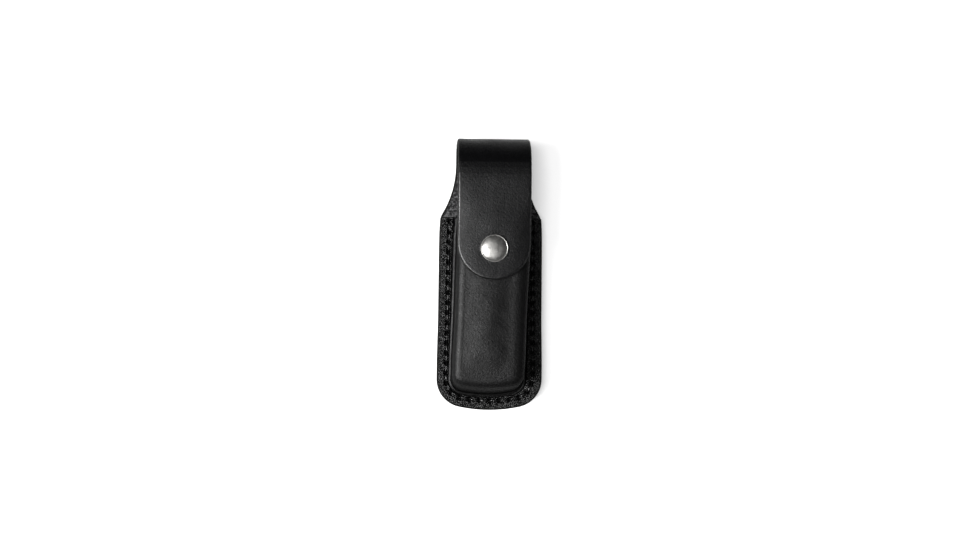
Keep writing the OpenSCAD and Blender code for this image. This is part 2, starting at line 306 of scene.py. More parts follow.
M = {
    "front": grain_leather("front_grain", (0.0004, 0.0004, 0.0004), (0.0016, 0.0016, 0.0017), seed=3.0),
    # wall, turn_a, turn_b and turn_c are painted shade: darker, less specular copies of the front grain for the box's
    # walls and the lower part of its rounded edge
    "wall": grain_leather("wall_painted_shade_grain", (0.0003, 0.0003, 0.0003), (0.0012, 0.0012, 0.0013), rough=(0.4, 0.58), seed=3.0, spec=0.02),
    "turn_a": grain_leather("turn_a_painted_shade_grain", (0.0003, 0.0003, 0.0003), (0.0012, 0.0012, 0.0013), seed=3.0, spec=0.05),
    "turn_b": grain_leather("turn_b_painted_shade_grain", (0.0003, 0.0003, 0.0003), (0.0014, 0.0014, 0.0015), seed=3.0, spec=0.11),
    "turn_c": grain_leather("turn_c_painted_shade_grain", (0.0004, 0.0004, 0.0004), (0.0016, 0.0016, 0.0017), seed=3.0, spec=0.18),
    "margin": grain_leather("margin_grain", (0.0003, 0.0003, 0.0003), (0.0022, 0.0022, 0.0023), rough=(0.16, 0.36), depth=0.00006, seed=9.0, speck=0.001, speck_size=0.55, spec=0.42),
    "blank": grain_leather("blank_grain", (0.0004, 0.0004, 0.0005), (0.0016, 0.0016, 0.0018), seed=17.0, turn=-0.2),
    "rim": grain_leather("rubbed_rim", (0.0004, 0.0004, 0.0005), (0.0016, 0.0016, 0.0018), rough=(0.24, 0.4), depth=0.00003, seed=17.0, turn=-0.2, spec=0.5),
    # bend_a, bend_b and bend_c are painted shade: less specular copies of the blank grain for the upper fold
    "bend_a": grain_leather("bend_a_painted_shade_grain", (0.0004, 0.0004, 0.0005), (0.0016, 0.0016, 0.0018), seed=17.0, turn=-0.2, spec=0.17),
    "bend_b": grain_leather("bend_b_painted_shade_grain", (0.0004, 0.0004, 0.0005), (0.0016, 0.0016, 0.0018), seed=17.0, turn=-0.2, spec=0.11),
    "bend_c": grain_leather("bend_c_painted_shade_grain", (0.0004, 0.0004, 0.0005), (0.0016, 0.0016, 0.0018), seed=17.0, turn=-0.2, spec=0.06),
    "loop": grain_leather("loop_grain", (0.0016, 0.0016, 0.0017), (0.0055, 0.0055, 0.0057), depth=0.00006, seed=31.0),
    "flesh": flesh_leather("flesh_side_painted_glints", (0.001, 0.001, 0.0011), (0.1, 0.1, 0.102), seed=5.0, spec=0.5),
    "flesh_in": flesh_leather("pocket_lining_flesh", (0.002, 0.002, 0.0022), (0.014, 0.0135, 0.013), depth=0.0004, seed=12.0, spec=0.25),
    "edge": edge_leather("cut_edge", (0.0008, 0.0008, 0.0008), (0.013, 0.013, 0.0125), seed=2.0),
    "thread": waxed_thread("waxed_thread"),
    "cap": metal("nickel_cap", (0.27, 0.265, 0.255), (0.4, 0.395, 0.38), rough=(0.33, 0.43), scratch=0.000008, seed=1.0),
    "nickel": metal("nickel_plate", (0.34, 0.335, 0.325), (0.5, 0.49, 0.47), rough=(0.2, 0.36), seed=4.0),
    "brass": metal("plain_brass", (0.36, 0.27, 0.13), (0.5, 0.39, 0.2), rough=(0.22, 0.42), seed=8.0),
    "wire": metal("spring_wire", (0.4, 0.33, 0.18), (0.56, 0.47, 0.28), rough=(0.2, 0.34), seed=6.0),
}


# ---------------------------------------------------------------- mesh helpers
def outward(me, weld=None, sharp_angle=None, lid=None):
    """Turns a closed mesh's faces outward; can weld it, crease it by angle and close an open rim with a flat lid of that material."""
    bm = bmesh.new()
    bm.from_mesh(me)
    if weld:
        bmesh.ops.remove_doubles(bm, verts=bm.verts, dist=weld)
        bmesh.ops.dissolve_degenerate(bm, edges=bm.edges, dist=weld / 10)
    if lid is not None:
        rim = [e for e in bm.edges if len(e.link_faces) == 1]
        for f in bmesh.ops.contextual_create(bm, geom=rim)["faces"]:
            f.material_index = lid
            f.smooth = False
            for e in f.edges:
                e.smooth = False
    bmesh.ops.recalc_face_normals(bm, faces=bm.faces)
    for e in bm.edges:
        if len(e.link_faces) != 2:
            continue
        if sharp_angle and e.calc_face_angle(0) > sharp_angle:
            e.smooth = False
    bm.to_mesh(me)
    bm.free()
    me.update()


class Build:
    """Collects points in mm, their place in the flat pattern, and faces with a material number."""

    def __init__(self):
        self.p, self.q, self.f, self.m, self.n = [], [], [], [], 0

    def add(self, pts, pat):
        pts = np.asarray(pts, float).reshape(-1, 3)
        pat = np.asarray(pat, float).reshape(-1, 3)
        first = self.n
        self.p.append(pts)
        self.q.append(pat)
        self.n += len(pts)
        return np.arange(first, self.n)

    def quads(self, grid, mat=0, flip=False, loop=False):
        """Faces over a 2D grid of point numbers; loop joins the last column to the first."""
        g = np.asarray(grid)
        if loop:
            g = np.concatenate([g, g[:, :1]], 1)
        a, b, c, d = g[:-1, :-1].ravel(), g[1:, :-1].ravel(), g[1:, 1:].ravel(), g[:-1, 1:].ravel()
        f = np.stack([a, b, c, d] if not flip else [d, c, b, a], 1)
        self.f.append(f)
        self.m.append(np.full(len(f), mat))

    def finish(self, name, mats, sharp=None, closed=True):
        co = np.concatenate(self.p) * 0.001
        pat = np.concatenate(self.q)
        f = np.concatenate([x for x in self.f if x.shape[1] == 4])
        m = np.concatenate([x for x, y in zip(self.m, self.f) if y.shape[1] == 4])
        tri = [x for x in self.f if x.shape[1] == 3]
        faces = f.tolist()
        if tri:
            faces += np.concatenate(tri).tolist()
            m = np.concatenate([m] + [x for x, y in zip(self.m, self.f) if y.shape[1] == 3])
        me = bpy.data.meshes.new(name)
        me.from_pydata(co.tolist(), [], faces)
        for k in mats:
            me.materials.append(M[k])
        me.polygons.foreach_set("material_index", m.astype(np.int32))
        me.polygons.foreach_set("use_smooth", np.ones(len(me.polygons), bool))
        at = me.attributes.new("pat", "FLOAT_VECTOR", "POINT")
        at.data.foreach_set("vector", pat.astype(np.float32).ravel())
        if sharp is not None:
            flags = np.zeros(len(me.edges), bool)
            keep = set(int(i) for i in sharp)
            for i, e in enumerate(me.edges):
                if e.vertices[0] in keep and e.vertices[1] in keep:
                    flags[i] = True
            se = me.attributes.get("sharp_edge") or me.attributes.new("sharp_edge", "BOOLEAN", "EDGE")
            se.data.foreach_set("value", flags)
        me.validate()
        me.update()
        if closed:
            outward(me)
        ob = bpy.data.objects.new(name, me)
        bpy.context.scene.collection.objects.link(ob)
        return ob


def resample(pts, n, closed=False):
    pts = np.asarray(pts, float)
    if closed:
        pts = np.concatenate([pts, pts[:1]])
    s = np.concatenate([[0], np.cumsum(np.linalg.norm(np.diff(pts, axis=0), axis=1))])
    at = np.linspace(0, s[-1], n + 1)
    out = np.stack([np.interp(at, s, pts[:, k]) for k in range(pts.shape[1])], 1)
    return out[:-1] if closed else out


def arc(cx, cy, r, a, b, n=60):
    t = np.linspace(a, b, n + 1)
    return np.stack([cx + r * np.cos(t), cy + r * np.sin(t)], 1)


def loop_normals(loop):
    t = np.roll(loop, -1, 0) - np.roll(loop, 1, 0)
    t /= np.linalg.norm(t, axis=1)[:, None]
    return np.stack([t[:, 1], -t[:, 0]], 1)   # outward for a counter-clockwise loop


def fill(right, left, bottom=None, top=None, reach=22.0):
    """Grid of points from right[i] to left[i]; bottom and top are the first and last rows, and their curve dies out over reach."""
    n = len(right)
    m = len(bottom if bottom is not None else top)
    u = np.linspace(0, 1, m)[None, :, None]
    g = right[:, None, :] * (1 - u) + left[:, None, :] * u
    mid = (right + left) / 2
    for row, end in ((bottom, 0), (top, n - 1)):
        if row is None:
            continue
        bulge = row - g[end]
        d = np.abs(mid[:, 1] - mid[end, 1])
        w = (1 - smooth(0, reach, d))
        g = g + w[:, None, None] * bulge[None]
    return g


def slab(b, loop_parts, prof, thick, place, mats, reach=22.0, relief=None, wander=None):
    """A sheet of leather with a shaped edge. loop_parts are the right side going up, the top going left,
    the left side going down and the bottom going right, as flat points; prof is the edge as (inset, depth),
    from the outer face (depth 0) to the inner face (depth thick). place maps flat points and depth to the solid."""
    right, top, left, bottom = loop_parts
    n, m = len(right) - 1, len(top) - 1
    loop = np.concatenate([right[:-1], top[:-1], left[:-1], bottom[:-1]])
    nrm = loop_normals(loop)
    nrm = (np.roll(nrm, 1, 0) + nrm * 2 + np.roll(nrm, -1, 0))
    nrm /= np.linalg.norm(nrm, axis=1)[:, None]
    rings = []
    for d, h in prof:
        deep = d + (0 if wander is None else wander * (1 - smooth(0.5, 3.5, d)))
        flat = loop - nrm * (np.asarray(deep).reshape(-1, 1))
        f3 = np.concatenate([flat, np.full((len(flat), 1), h)], 1)
        if relief is not None:
            f3 = relief(f3, d)
        rings.append((f3, b.add(place(f3), f3)))
    ids = np.array([r[1] for r in rings])
    outer_n = next(i for i, (d, h) in enumerate(prof) if h > (0.2 if d < 0.6 else 9))
    inner_n = next(i for i, (d, h) in enumerate(prof) if h >= thick - 0.015)
    rim_n = outer_n if len(mats) < 4 else next(i for i, (d, h) in enumerate(prof) if h > 0.008)
    b.quads(ids[:rim_n + 1], mats[0], loop=True, flip=True)
    if rim_n < outer_n:
        b.quads(ids[rim_n:outer_n + 1], mats[3], loop=True, flip=True)
    b.quads(ids[outer_n:inner_n + 1], mats[1], loop=True, flip=True)
    b.quads(ids[inner_n:], mats[2], loop=True, flip=True)
    for end, flip, mat in ((0, True, mats[0]), (-1, False, mats[2])):
        f3, ring = rings[end]
        r_i = ring[:n + 1]
        t_i = ring[n:n + m + 1]
        l_i = ring[n + m:2 * n + m + 1][::-1]
        b_i = np.concatenate([ring[2 * n + m:], ring[:1]])[::-1]
        flat = lambda idx: f3[idx - ring[0]][:, :2]
        g = fill(flat(r_i), flat(l_i), flat(b_i), flat(t_i), reach)
        h = np.full(g.shape[:2] + (1,), f3[0, 2] if relief is None else prof[end][1])
        g3 = np.concatenate([g, h], 2)
        if relief is not None:
            g3 = relief(g3.reshape(-1, 3), prof[end][0]).reshape(g3.shape)
        inner = g3[1:-1, 1:-1].reshape(-1, 3)
        idx = np.zeros(g.shape[:2], int)
        idx[0], idx[-1] = b_i, t_i
        idx[:, 0], idx[:, -1] = r_i, l_i
        idx[1:-1, 1:-1] = b.add(place(inner), inner).reshape(n - 1, m - 1)
        b.quads(idx, mat, flip=flip)


# ---------------------------------------------------------------- the seam
seam_side = math.hypot(half_w - half_raw(mouth_y), mouth_y - 1.8 - corner_y)
seam_lean = math.atan((half_w - half_raw(mouth_y)) / (mouth_y - 1.8 - corner_y))
seam_arc = (corner_r - seam_in) * corner_a
seam_base = (bottom_r - seam_in) * 2 * (PI / 2 - corner_a)
seam_len = 2 * seam_side + 2 * seam_arc + seam_base


def seam_half(s):
    if s < seam_side:
        return (-(half_w - seam_in) + (seam_side - s) * math.sin(seam_lean), corner_y + (seam_side - s) * math.cos(seam_lean), -PI / 2 - seam_lean)
    if s < seam_side + seam_arc:
        a = PI + (s - seam_side) / (corner_r - seam_in)
        return (-corner_x + (corner_r - seam_in) * math.cos(a), corner_y + (corner_r - seam_in) * math.sin(a), a + PI / 2)
    a = PI + corner_a + (s - seam_side - seam_arc) / (bottom_r - seam_in)
    return ((bottom_r - seam_in) * math.cos(a), y_bot + bottom_r + (bottom_r - seam_in) * math.sin(a), a + PI / 2)


def seam_at(s):
    if s <= seam_len / 2:
        x, y, a = seam_half(s)
        return x, y, a
    x, y, a = seam_half(seam_len - s)
    return -x, y, 2 * PI - a


pitch = seam_len / seam_n
HOLES = np.array([seam_at(min(i * pitch, seam_len))[:2] for i in range(seam_n + 1)])
LINE = np.array([seam_at(s)[:2] for s in np.linspace(0, seam_len, 900)])
box_r, box_w, box_h = 1.5, 2 * loop_h - 6, tab_l - 4.4


def box_at(s, yc):
    a, bb, q = box_w - 2 * box_r, box_h - 2 * box_r, PI * box_r / 2
    total = 2 * (a + bb + 2 * q)
    t = s % total
    half = a + bb + 2 * q
    k = t >= half
    u = t - half if k else t
    if u < a:
        p = (-a / 2 + u, -box_h / 2, 0.0)
    elif u < a + q:
        g = (u - a) / box_r
        p = (a / 2 + box_r * math.sin(g), -box_h / 2 + box_r - box_r * math.cos(g), g)
    elif u < a + q + bb:
        p = (box_w / 2, -bb / 2 + u - a - q, PI / 2)
    else:
        g = PI / 2 + (u - a - q - bb) / box_r
        p = (a / 2 + box_r * math.sin(g), box_h / 2 - box_r - box_r * math.cos(g), g)
    return (p[0], p[1] + yc, p[2]) if not k else (-p[0], -p[1] + yc, p[2] + PI)


box_len = 2 * (box_w + box_h) - 8 * box_r + 2 * PI * box_r
TABS = (loop_top - tab_l / 2, loop_bot + tab_l / 2)
BOX_HOLES = np.array([box_at(i * box_len / loop_n, yc)[:2] for yc in TABS for i in range(loop_n)])
BOX_LINE = np.array([box_at(s, yc)[:2] for yc in TABS for s in np.linspace(0, box_len, 260)])


def near(xy, pts, chunk=4000):
    out = np.empty(len(xy))
    for i in range(0, len(xy), chunk):
        d = xy[i:i + chunk, None, :] - pts[None]
        out[i:i + chunk] = np.sqrt((d ** 2).sum(2).min(1))
    return out


def stitches(name, holes, surface, up, body, nodes, dia=0.78, lift=0.05, dive=1.35, twist=2.6, extra=(), seed=1):
    """Twisted thread lying between neighbouring holes, each stitch turning down into its holes."""
    b = Build()
    rng = np.random.RandomState(seed)
    k_n, around = 26, 15
    for h0, h1 in list(zip(holes[:-1], holes[1:])) + list(extra):
        h0, h1 = np.array(h0, float), np.array(h1, float)
        d = h1 - h0
        ln = np.linalg.norm(d)
        t = d / ln
        side = np.array([-t[1], t[0]])
        slant = rng.uniform(0.1, 0.2)
        proud = 0.0 if not extra or ln > 4.5 else 0.28
        s = np.concatenate([[0.0, 0.02, 0.05], np.linspace(0.09, 0.91, k_n), [0.95, 0.98, 1.0]])
        rise = np.interp(s, [0, 0.04, 0.11, 0.2, 0.31, 0.5, 0.69, 0.8, 0.89, 0.96, 1], [-dive, -dive * 0.78, -dive * 0.5, -dive * 0.15, 0.02, 0.08, 0.02, -dive * 0.15, -dive * 0.5, -dive * 0.78, -dive])
        if proud:
            rise = np.interp(s, [0, 0.03, 0.09, 0.2, 0.5, 0.8, 0.91, 0.97, 1], [-dive, -dive * 0.62, -0.42, 0.0, 0.1, 0.0, -0.42, -dive * 0.62, -dive])
        off = slant * (1 - 2 * s) + rng.uniform(-0.04, 0.04)
        xy = h0[None] + d[None] * np.interp(s, [0, 0.05, 0.95, 1], [0.045, 0.06, 0.94, 0.955])[:, None] + side[None] * off[:, None]
        z = surface(xy) + up * (rise + lift + proud)
        path = np.concatenate([xy, z[:, None]], 1)
        tan = np.gradient(path, axis=0)
        tan /= np.linalg.norm(tan, axis=1)[:, None]
        w = np.array([side[0], side[1], 0.0])
        nrm = np.cross(tan, w[None])
        nrm /= np.linalg.norm(nrm, axis=1)[:, None]
        wid = np.cross(nrm, tan)
        length = np.concatenate([[0], np.cumsum(np.linalg.norm(np.diff(path, axis=0), axis=1))])
        phase = rng.uniform(0, 6)
        a = np.linspace(0, 2 * PI, around, endpoint=False)
        rad = dia / 2 * (1 + 0.13 * np.cos(3 * (a[None] - twist * length[:, None] - phase)))
        rad = rad * np.interp(s, [0, 0.05, 0.95, 1], [0.75, 1, 1, 0.75])[:, None]
        pts = path[:, None] + rad[..., None] * (np.cos(a)[None, :, None] * wid[:, None] + np.sin(a)[None, :, None] * nrm[:, None])
        pat = np.stack(np.broadcast_arrays(np.cos(a)[None] * dia, length[:, None], np.sin(a)[None] * dia), 2) + np.array([0, 7.3 * len(b.p), 0])
        ids = b.add(pts, pat).reshape(len(path), around)
        b.quads(ids, 0, loop=True)
        for row, flip in ((0, False), (-1, True)):
            c = b.add(path[row], pat[row, 0])
            ring = ids[row]
            nxt = np.roll(ring, -1)
            f = np.stack([ring, nxt, np.full(len(ring), c[0])] if not flip else [nxt, ring, np.full(len(ring), c[0])], 1)
            b.f.append(f)
            b.m.append(np.zeros(len(f), int))
    ob = b.finish(name, ["thread"])
    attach(ob, body)
    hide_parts(*nodes)
    return ob


# ---------------------------------------------------------------- moulded front
N_SIDE, N_ARC, N_BASE = 200, 52, 34


def contour(d, e):
    """From the right end of the mouth, round the bottom, to the left end: points set in by d, the bottom end by a further e."""
    ys = np.linspace(mouth_y, corner_y, N_SIDE + 1)
    side = np.stack([half_s(ys) - d, mouth_y + (ys - mouth_y) * (mouth_y - corner_y - e) / (mouth_y - corner_y)], 1)
    a = -corner_a * np.arange(1, N_ARC + 1) / N_ARC
    cor = np.stack([corner_x + (corner_r - d) * np.cos(a), corner_y + e + (corner_r - d) * np.sin(a)], 1)
    a = -corner_a - (PI / 2 - corner_a) * np.arange(1, N_BASE + 1) / N_BASE
    base = np.stack([(bottom_r - d) * np.cos(a), y_bot + bottom_r + e + (bottom_r - d) * np.sin(a)], 1)
    r = np.concatenate([side, cor, base])
    return np.concatenate([r, r[-2::-1] * np.array([-1, 1])])


def front_profile():
    pts = [(0.3, z_in + 0.03, 0), (0.1, z_in + 0.16, 0), (0.0, z_in + 0.5, 0), (0.0, z_in + 1.0, 0), (0.06, z_rim - 0.62, 0),
           (0.24, z_rim - 0.28, 0), (0.52, z_rim - 0.09, 0), (0.9, z_rim - 0.01, 0)]
    pts += [(d, z_rim + 0.02, 0) for d in np.arange(1.2, 5.25, 0.22)]
    pts += [(5.4, z_rim + 0.02, 0), (5.62, z_rim, 0), (5.78, z_rim - 0.06, 0), (5.88, z_rim - 0.22, 0), (5.94, z_rim - 0.5, 0), (6.0, z_rim - 0.85, 0), (6.1, z_rim - 1.15, 0), (6.28, z_rim - 1.22, 0),
            (6.42, z_rim - 1.1, 0), (6.5, z_rim - 0.85, 0), (6.56, z_rim - 0.66, 0), (6.66, z_rim - 0.55, 0), (6.82, z_rim - 0.48, 0), (7.0, z_rim - 0.42, 0), (7.2, z_rim - 0.35, 0), (7.38, z_rim - 0.28, 0),
            (7.5, z_rim - 0.18, 0.01), (7.56, z_rim + 0.1, 0.02), (7.58, z_rim + 0.6, 0.03)]
    z0, z1 = z_rim + 1.2, z_face - edge_r
    n = 15
    for i in range(n):
        t = i / n
        pts.append((margin_w + 0.7 + 0.1 * t - 0.05 * math.sin(PI * t), z0 + (z1 - z0) * t, 0.05 + 0.95 * t))
    for i in range(15):
        a = PI / 2 * i / 14
        pts.append((margin_w + wall_lean + 0.1 + (edge_r + 0.6) * (1 - math.cos(a)), z_face - edge_r * (1 - math.sin(a)), 1 + 0.18 * math.sin(a)))
    return pts


def inner_profile(outer):
    n_low = next(i for i, p in enumerate(outer) if p[0] >= 7.5)
    low = [(d, z_in + 0.02, 0) for d in np.linspace(0.5, margin_w + front_t - 0.3, n_low)]
    n_wall = len(outer) - n_low - 15
    z0, z1 = z_in + 0.35, z_ceil - (edge_r - 1)
    wall = [(margin_w + front_t - 0.1 + (wall_lean + 0.1) * i / n_wall, z0 + (z1 - z0) * i / n_wall, i / n_wall) for i in range(n_wall)]
    r = edge_r - 1
    top = [(margin_w + wall_lean + front_t + r * (1 - math.cos(PI / 2 * i / 14)), z_ceil - r * (1 - math.sin(PI / 2 * i / 14)), 1 + 0.18 * math.sin(PI / 2 * i / 14)) for i in range(15)]
    return low + wall + top


def skew(xy, amount):
    """The moulded box sits a little askew in its margin."""
    out = xy.copy()
    out[:, 0] += amount * (0.02 * (xy[:, 1] + 4) + 0.026 * (np.minimum(xy[:, 1], 14) - 12) * np.clip(xy[:, 0] / 17, 0, 1))
    return out


def crown(g):
    """Fullness of the face, from its own left and right limits."""
    x, y = g[..., 0], g[..., 1]
    lo, hi = x.min(1) + 0.4, x.max(1) - 0.4
    u = (x - ((lo + hi) / 2)[:, None]) / ((hi - lo) / 2)[:, None]
    fx = np.clip(1 - u ** 2, 0, 1) ** np.where(u < 0, 1.35, 2.4)
    fy = smooth(float(y.min()) + 0.6, float(y.min()) + 15, y)
    r2 = x ** 2 + (y - snap_y) ** 2
    return (0.8 * fx * fy + 0.07 * waves(x, y, 11, 5) * np.minimum(fx * 3, 1) * np.minimum(fy * 3, 1)) * (1 - np.exp(-r2 / 60.0))


def build_front():
    b = Build()
    outer, inner = front_profile(), inner_profile(front_profile())
    grids = []
    for which, prof in (("out", outer), ("in", inner)):
        ids = []
        for j, (d, z, e) in enumerate(prof):
            xy = contour(d, end_lean * (0.83 * min(e, 1) + max(e - 1, 0)))
            amount = float(smooth(5.0, 6.6, d)) if which == "out" else float(smooth(6.0, 9.0, d))
            xy = skew(xy, amount)
            zz = np.full(len(xy), float(z))
            if which == "out":
                if 0.8 < d < 5.6 and e == 0:
                    ls, lh = near(xy, LINE), near(xy, HOLES)
                    inside = 1 - smooth(mouth_y - 2.6, mouth_y - 0.8, xy[:, 1])
                    zz -= (0.3 * np.exp(-(ls / 0.95) ** 3) - 0.16 * np.exp(-((ls - 1.45) / 0.5) ** 2)) * inside
                    zz -= 0.3 * np.exp(-(lh / 1.35) ** 2)
                    zz -= 1.7 * np.exp(-(lh / 0.98) ** 3)
                    zz += 0.12 * np.exp(-((lh - 1.25) / 0.4) ** 2)
                    zz += 0.15 * waves(xy[:, 0], xy[:, 1], 2.1, 3, 13) + 0.07 * waves(xy[:, 0], xy[:, 1], 6, 4)
                elif 5.3 < d and e == 0:
                    zz += 0.05 * waves(xy[:, 0], xy[:, 1], 5, 8)
                if e >= 1:
                    # the right edge is rounded more fully
                    rise = 1 - (z_face - z) / edge_r
                    full = 1 - math.sqrt(max(1 - min(rise, 1) ** 2, 0))
                    xy[:, 0] -= 3.0 * full * smooth(-2, 12, xy[:, 0])
                if e > 0.03:
                    # the wall is not quite true
                    k = 0.12 * waves(xy[:, 1], np.full(len(xy), z), 16, 6)
                    xy = xy + np.sign(xy[:, :1]) * k[:, None] * np.array([1, 0]) * math.sin(PI * min(max((z - z_rim) / (z_face - z_rim), 0), 1))
            else:
                zz += 0.06 * waves(xy[:, 0] + z, xy[:, 1], 5, 9) * (0 if z < z_in + 0.1 else 1)
            pts = np.concatenate([xy, zz[:, None]], 1)
            pat = pts + np.array([0, 0, 0.0 if which == "out" else 40.0])
            ids.append(b.add(pts, pat))
        ids = np.array(ids)
        u = ids.shape[1]
        k45 = N_SIDE + N_ARC // 2
        ring = np.concatenate(b.p)[ids[-1]]
        right, left = ring[:k45 + 1, :2][::-1], ring[::-1][:k45 + 1, :2][::-1]
        row = ring[k45:u - k45, :2]
        g = fill(right, left, bottom=row, reach=24.0)
        z = np.full(g.shape[:2], ring[0, 2])
        z = z + (crown(g) if which == "out" else 0.05 * waves(g[..., 0], g[..., 1], 6, 2) * np.minimum(1, 3 * np.clip(1 - (g[..., 0] / 12.0) ** 2, 0, 1)))
        g3 = np.concatenate([g, z[..., None]], 2)
        patg = g3 + np.array([0, 0, 0.0 if which == "out" else 40.0])
        m = g.shape[1]
        idx = np.zeros(g.shape[:2], int)
        idx[:, 0], idx[:, -1] = ids[-1][:k45 + 1][::-1], ids[-1][::-1][:k45 + 1][::-1]
        idx[0] = ids[-1][k45:u - k45]
        idx[1:-1, 1:-1] = b.add(g3[1:-1, 1:-1], patg[1:-1, 1:-1]).reshape(g.shape[0] - 2, m - 2)
        # the mouth's row
        idx[-1, 1:-1] = b.add(g3[-1, 1:-1], patg[-1, 1:-1])
        grids.append((ids, idx))
    (oi, of), (ii, inf) = grids
    n_edge = 7
    n_margin = next(i for i, p in enumerate(outer) if p[0] >= 5.88)
    b.quads(oi[:n_edge + 1], 2, flip=True)
    b.quads(oi[n_edge:n_margin + 1], 1, flip=True)
    n_wall = next(i for i, p in enumerate(outer) if p[0] >= 7.5)
    b.quads(oi[n_margin:n_wall + 1], 0, flip=True)
    # painted shade: the wall and the lower rounding take darker, less specular copies of the grain, graded back to the
    # face
    b.quads(oi[n_wall:-11], 4, flip=True)
    b.quads(oi[-12:-9], 5, flip=True)
    b.quads(oi[-10:-7], 6, flip=True)
    b.quads(oi[-8:-5], 7, flip=True)
    b.quads(oi[-6:], 0, flip=True)
    b.quads(of, 0, flip=False)
    b.quads(ii, 3)
    b.quads(inf, 3, flip=True)
    b.quads(np.array([oi[0], ii[0]]), 3)
    # the mouth's cut edge, rounded over
    rim_o = np.concatenate([oi[:, 0], of[-1, 1:-1], oi[:, -1][::-1]])
    rim_i = np.concatenate([ii[:, 0], inf[-1, 1:-1], ii[:, -1][::-1]])
    P, Q = np.concatenate(b.p), np.concatenate(b.q)
    rows = [rim_o]
    for s, out in ((0.12, 0.2), (0.3, 0.36), (0.5, 0.42), (0.7, 0.36), (0.88, 0.2)):
        pts = P[rim_o] * (1 - s) + P[rim_i] * s + np.array([0, out, 0])
        pts[:, 1] += 0.05 * waves(pts[:, 0] * 3, pts[:, 2], 4, 12)
        rows.append(b.add(pts, Q[rim_o] * np.array([1, 1, 0]) + np.array([0, 0, 8 * s])))
    rows.append(rim_i)
    b.quads(np.array(rows), 2, flip=False)
    for end in (0, -1):
        pts = [r[end] for r in rows]
        b.f.append(np.array([[pts[0], pts[i], pts[i + 1]] for i in range(1, len(pts) - 1)]))
        b.m.append(np.full(len(pts) - 2, 2))
    ob = b.finish("front_panel_leather", ["front", "margin", "edge", "flesh_in", "wall", "turn_a", "turn_b", "turn_c"])
    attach(ob, "case")
    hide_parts("front_panel")
    return ob


# ---------------------------------------------------------------- blank: back, folded top and flap
L1 = y_top - fold_back_r
mid_b, mid_f = fold_back_r - blank_t / 2, fold_front_r - blank_t / 2
T1 = L1
T2 = T1 + mid_b * PI / 2
T3 = T2 + (z_out - fold_front_r) - (z_back + fold_back_r)
T4 = T3 + mid_f * PI / 2
T5 = T4 + (y_top - fold_front_r) - tip_y
T_SPLIT = (T2 + T3) / 2


def place_blank(f):
    """Flat pattern (x, t, depth from the smooth side) to the solid."""
    x, t, h = f[:, 0], f[:, 1], f[:, 2]
    y, z = np.empty(len(f)), np.empty(len(f))
    a = t <= T1
    y[a], z[a] = t[a], z_back + h[a]
    a = (t > T1) & (t <= T2)
    g = -PI / 2 + (t[a] - T1) / mid_b
    r = fold_back_r - h[a]
    y[a], z[a] = y_top - fold_back_r + r * np.cos(g), z_back + fold_back_r + r * np.sin(g)
    a = (t > T2) & (t <= T3)
    y[a], z[a] = y_top - h[a], z_back + fold_back_r + t[a] - T2
    a = (t > T3) & (t <= T4)
    g = (t[a] - T3) / mid_f
    r = fold_front_r - h[a]
    y[a], z[a] = y_top - fold_front_r + r * np.cos(g), z_out - fold_front_r + r * np.sin(g)
    a = t > T4
    y[a], z[a] = y_top - fold_front_r - (t[a] - T4), z_out - h[a]
    # the flap's long sides droop a little, it dips to the snap and lifts between the snap and the fold
    w = smooth(T4 - 6, T4 + 10, t)
    ty = T5 - (snap_y - tip_y)
    r2 = x ** 2 + (t - ty) ** 2
    full = smooth(ty - 32, ty - 8, t)
    z -= w * (0.28 + 0.1 * full) * (np.abs(x) / strap_h) ** 4 + w * full * 1.15 * (x / strap_h) ** 2
    z -= w * 0.16 * np.exp(-np.abs(r2 / 36.0 - 1.35) * 0.9) * (h < 1.2)
    # the strap falls away to the fold over a long curve
    z -= 2.5 * (1 - np.exp(-0.0047 * np.clip(21 - (y_top - y), 0, 30) ** 2)) * smooth(T3 - 5, T3 + 5, t)
    z += w * 0.16 * np.sin(PI * np.clip((t - T4) / (ty - T4), 0, 1)) * (1 - (x / strap_h) ** 2 * 0.4)
    z += w * 0.06 * waves(x, t, 14, 21) * np.clip(r2 / 60.0, 0, 1)
    c = smooth(T1 - 4, T1 + 4, t) * (1 - smooth(T4 - 4, T4 + 4, t))
    y += c * 0.1 * waves(x, t, 12, 22)
    return np.stack([x, y, z], 1)


def relief_blank(f, d):
    f = f.copy()
    side = f[:, 2].copy()
    out = side < 0.02
    if out.any():
        xy = f[:, :2]
        near_seam = out & (xy[:, 1] < mouth_y + 3)
        if near_seam.any():
            p = xy[near_seam]
            lh, ls = near(p, HOLES), near(p, LINE)
            bh, bl = near(p, BOX_HOLES), near(p, BOX_LINE)
            f[near_seam, 2] += 0.7 * np.exp(-(lh / 0.6) ** 2) + 0.16 * np.exp(-(ls / 0.8) ** 4) * (1 - smooth(mouth_y - 2.6, mouth_y - 0.8, p[:, 1]))
        f[out, 2] += 0.02 * waves(f[out, 0], f[out, 1], 6, 14) * (0 if d < 0.9 else 1)
    inn = side > blank_t - 0.02
    if inn.any():
        xy = f[inn, :2]
        rough = 0.05 * waves(xy[:, 0], xy[:, 1], 1.7, 15) + 0.05 * waves(xy[:, 0], xy[:, 1], 4.5, 16)
        # the flesh side lies flat under the margin and rougher elsewhere
        pocket = np.where((xy[:, 1] < mouth_y) & (np.abs(xy[:, 0]) > 17.5), 0.0, 1.0) * (1.0 if d > 0.9 else 0.0)
        coarse = 0.18 * waves(xy[:, 0], xy[:, 1], 1.9, 17, 13) * smooth(mouth_y + 0.5, mouth_y + 2, xy[:, 1]) * (1 - smooth(T1, T2, xy[:, 1]))
        f[inn, 2] += np.minimum(rough, 0.03) * pocket + coarse * (1.0 if d > 0.9 else 0.0)
        keep = near(xy, BOX_HOLES)
        f[inn, 2] -= 0.7 * np.exp(-(keep / 0.55) ** 2)
    return f


